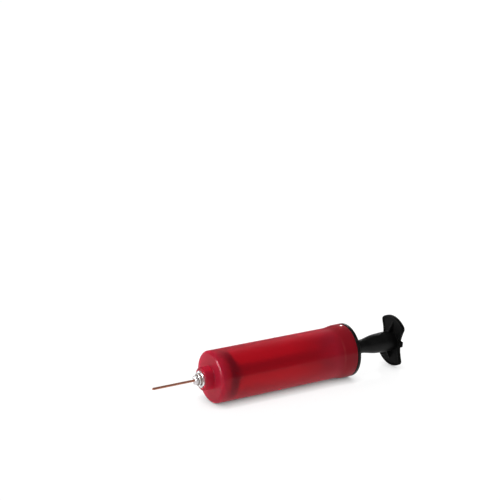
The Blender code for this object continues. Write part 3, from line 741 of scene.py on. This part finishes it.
def grip_outline():
    """The pad's bow-tie outline: two arcs joined by sides that draw in to a waist."""
    corner = (R_GRIP * math.sin(CORNER), R_GRIP * math.cos(CORNER))
    quarter = []
    for k in range(ARC_STEPS + 1):
        angle = CORNER * k / ARC_STEPS
        point = (R_GRIP * math.sin(angle), R_GRIP * math.cos(angle))
        if math.dist(point, corner) > CORNER_BLEND:
            quarter.append(point)
    # a cubic Bezier from the corner to the waist
    first = (corner[0] + 0.33 * (WAIST[0] - corner[0]), corner[1] + 0.33 * (WAIST[1] - corner[1]))
    second = (WAIST[0], WAIST[1] + 0.35 * (corner[1] - WAIST[1]))
    side = []
    for k in range(SIDE_STEPS + 1):
        t = k / SIDE_STEPS
        weights = ((1 - t) ** 3, 3 * (1 - t) ** 2 * t, 3 * (1 - t) * t * t, t ** 3)
        point = tuple(sum(weight * value for weight, value in zip(weights, column))
                      for column in zip(corner, first, second, WAIST))
        if math.dist(point, corner) > CORNER_BLEND:
            side.append(point)
    # a quadratic Bezier rounds the corner between them
    start, end = quarter[-1], side[0]
    for k in range(1, BLEND_STEPS):
        t = k / BLEND_STEPS
        quarter.append(tuple((1 - t) ** 2 * p + 2 * (1 - t) * t * q + t * t * r
                             for p, q, r in zip(start, corner, end)))
    quarter += side
    loop = list(quarter)
    loop += [(y, -z) for y, z in reversed(quarter)]
    loop += [(-y, -z) for y, z in quarter[1:]]
    loop += [(-y, z) for y, z in reversed(quarter[1:])]
    return loop


def inset_loop(loop, inset):
    moved = []
    for i, point in enumerate(loop):
        a, b = loop[i - 1], loop[(i + 1) % len(loop)]
        ty, tz = b[0] - a[0], b[1] - a[1]
        length = math.hypot(ty, tz)
        moved.append((point[0] + tz / length * inset, point[1] - ty / length * inset))
    return moved


NECK = [
    (S_REAR - 0.4, 0.0), (S_REAR - 0.4, 7.25), (148.6, 7.25), (144.0, 7.25), (141.0, 7.18),
    (139.0, 7.08), (137.0, 6.97), (135.0, 6.82), (133.5, 6.62), (132.0, 6.36), (130.0, 5.95),
    (128.5, 5.6), (127.0, 5.28), (125.5, 5.02), (124.0, 4.89), (122.0, 4.81), (120.0, 4.77),
    (118.0, 4.75), (112.5, 4.75, 0.5), (112.5, 0.0),
]
# (station, distance from the axis) of the thin web between neck and pad
GUSSET = [
    (S_REAR - 0.5, 4.0), (S_PAD - 3.4, 4.0), (S_PAD - 3.4, 7.6), (S_PAD - 2.2, 9.4),
    (S_PAD - 0.8, 12.0), (S_PAD + 0.4, 14.6), (S_REAR - 0.5, 14.6),
]
GUSSET_HALF = 0.6
# (y, z) of the block beside the neck, before the roll
TAB = [(7.9, -3.1), (12.0, -3.1), (12.0, 0.9), (7.9, 0.9)]
# (radius, front, back) of the rod's socket, the screw hole and the recess behind it
BORES = [(3.15, 110.0, 146.6), (1.7, 145.0, 150.4), (3.8, 149.0, 156.0)]

outline = grip_outline()
grip = extrude_loop("handle_fine", outline, S_PAD, S_REAR)
pocket = extrude_loop("pocket", inset_loop(outline, 1.3), S_PAD - 1.0, S_PAD + 0.7)
join_cut(grip, pocket, 'DIFFERENCE')
join_cut(grip, lathe("neck", NECK, 160, segments=5, closed=False), 'UNION')
for side in (1, -1):
    gusset = extrude_loop("gusset", [(s, side * v) for s, v in GUSSET], -GUSSET_HALF,
                          GUSSET_HALF, lambda u, v, w: (u, *rolled(w, v)))
    join_cut(grip, gusset, 'UNION')
    tab = extrude_loop("tab", [(side * y, side * z) for y, z in TAB],
                       S_PAD + 0.05, S_REAR - 0.05)
    join_cut(grip, tab, 'UNION')
for radius, low, high in BORES:
    drill(grip, "bore", radius, low, high, steps=96)
# moulded plastic has no knife edges: a fine voxel remesh and a few smoothing
# passes round every edge by about 0.3 mm
remesh = grip.modifiers.new("remesh", 'REMESH')
remesh.mode = 'VOXEL'
remesh.voxel_size = 0.23 * MM
remesh.adaptivity = 0.0
apply_all(grip)
ease = grip.modifiers.new("ease", 'SMOOTH')
ease.factor = 0.5
ease.iterations = 6
apply_all(grip)
grip.data.shade_smooth()
fit(grip, "plunger", "handle", GRIP)

turned("handle_washer", "plunger", "steel", STEEL,
       [(149.8, 1.75), (149.8, 3.5), (149.3, 3.5), (149.3, 1.75)], 96, corner=0.1, segments=4)
handle_screw = pan_screw(
    "handle_screw_fine", underside=150.1, crown=151.85, head_radius=2.9, tip=136.2)
fit(handle_screw, "plunger", "handle_screw", STEEL)

# --------------------------------------------------------------------- floor
# the pump rests on its collar and on the front of its barrel, so the floor is
# tilted by about half a degree rather than the pump
GAP = 0.02
Z_FRONT, Z_BACK = -(R_BARREL + GAP), -(R_COLLAR + GAP)
S_FRONT, S_BACK = 2.0, 106.0
FLOOR_HALF = 40000.0
slope = (Z_BACK - Z_FRONT) / (S_BACK - S_FRONT)
corners = []
for u, v in ((-1, -1), (1, -1), (1, 1), (-1, 1)):
    s, y = u * FLOOR_HALF, v * FLOOR_HALF
    corners.append((x_of(s), y * MM, (Z_FRONT + slope * (s - S_FRONT)) * MM))
floor_mesh = bpy.data.meshes.new("floor")
floor_mesh.from_pydata(corners, [], [(0, 1, 2, 3)])
floor = link(bpy.data.objects.new("floor", floor_mesh))
table = Material("backlit_white_table")
# the table glows by itself; its glow is dimmed where something stands close over it, a painted
# contact shadow
contact_shade = table.node("ShaderNodeAmbientOcclusion", {"Distance": 0.008}, samples=8)
table.set(
    Base_Color=table.ramp(table.noise(scale=1.5, detail=2), {
        0.3: (0.12, 0.12, 0.121), 0.7: (0.125, 0.125, 0.125)}),
    Roughness=0.5, Specular_IOR_Level=0.1, Emission_Color=(1.0, 1.0, 1.0),
    Emission_Strength=table.times(table.math('POWER', contact_shade.outputs["AO"], 0.46), 0.88))
floor.data.materials.append(table.material)

# -------------------------------------------------------------------- studio
# a bright backdrop (+Y) and ceiling, a dimmer room on the camera's side (-Y)
world = bpy.data.worlds.new("studio")
scene.world = world
world.use_nodes = True
sky = Shader(world.node_tree)
direction = sky.node("ShaderNodeTexCoord", {}).outputs["Generated"]
sky_x, sky_y, sky_z = sky.axes(direction)


def glow(value, span, to):
    return sky.remap(value, span, to, interpolation_type='SMOOTHSTEP')


back_light = glow(sky_y, span=(-0.25, 0.75), to=(0.50, 0.90))
top_light = glow(sky_z, span=(0.35, 0.95), to=(0.0, 0.35))
full = sky.math('ADD', back_light, top_light)
# in mirror reflections the room is dim, apart from the pale backdrop low behind
low_back = sky.times(glow(sky_y, span=(0.45, 0.80), to=(0.0, 0.05)),
                     glow(sky_z, span=(0.25, 0.60), to=(1.0, 0.0)))
# a bright panel beyond the needle
panel = sky.times(glow(sky_x, span=(-0.86, -0.72), to=(1.0, 0.0)),
                  sky.times(glow(sky_z, span=(0.02, 0.12), to=(0.0, 7.0)),
                            glow(sky_z, span=(0.60, 0.78), to=(1.0, 0.0))))
# a lamp beyond the needle, mirrored as a crescent in the barrel's rounded front edge
aim = sky.node("ShaderNodeVectorMath", {
    0: direction, 1: Vector((-0.935, 0.28, 0.20)).normalized()}, operation='DOT_PRODUCT')
crescent = glow(aim.outputs["Value"], span=(0.930, 0.970), to=(0.0, 25.0))
dim = sky.math('ADD', sky.math('ADD', low_back, panel), sky.math('ADD', crescent, 0.04))
rays = sky.node("ShaderNodeLightPath", {}).outputs
not_through = sky.math('SUBTRACT', 1.0, rays["Is Transmission Ray"])
mirrored = sky.times(rays["Is Glossy Ray"], not_through)
room = sky.node("ShaderNodeMix", {0: mirrored, 2: full, 3: dim}).outputs[0]
# seen directly, past the edge of the table, the backdrop is plain white
seen = sky.node("ShaderNodeMix", {0: rays["Is Camera Ray"], 2: room, 3: 1.0}).outputs[0]
background = sky.tree.nodes["Background"]
sky.feed(background.inputs["Strength"], seen)
sky.feed(background.inputs["Color"], (1, 1, 1))


def sun(name, toward, strength, angle, mirror):
    """A sun that stands toward a direction; mirror makes it show in reflections only."""
    lamp = bpy.data.lights.new(name, 'SUN')
    lamp.energy = strength
    lamp.angle = math.radians(angle)
    obj = link(bpy.data.objects.new(name, lamp))
    obj.location = Vector(toward)
    obj.rotation_mode = 'QUATERNION'
    obj.rotation_quaternion = (-Vector(toward)).to_track_quat('-Z', 'Y')
    obj.visible_glossy = mirror
    obj.visible_diffuse = not mirror
    obj.visible_transmission = not mirror


sun("overhead", toward=(-0.40, 0.15, 0.90), strength=1.2, angle=45, mirror=False)
# a small distant lamp, which only the collar's top mirrors
sun("strip", toward=(0.5475, 0.708, 0.446), strength=0.3, angle=0.9, mirror=True)

# -------------------------------------------------------------------- camera
camera_data = bpy.data.cameras.new("camera")
camera_data.sensor_width = 36.0
camera_data.lens = 99.79
camera_data.shift_x = -0.001
camera_data.shift_y = 0.001
camera_data.clip_start = 0.01
camera_data.clip_end = 50.0
camera = link(bpy.data.objects.new("camera", camera_data))
eye = Vector((x_of(-424.65), -0.77159, 0.31466))
ahead = Vector((0.49374, 0.83303, -0.24957)).normalized()
right = Vector((0.85923, -0.51153, -0.00755)).normalized()
up = right.cross(ahead)
turn = Matrix((right, up, -ahead)).transposed()
camera.matrix_world = Matrix.Translation(eye) @ turn.to_4x4()
scene.camera = camera
scene.view_settings.view_transform = 'Standard'
scene.view_settings.look = 'None'
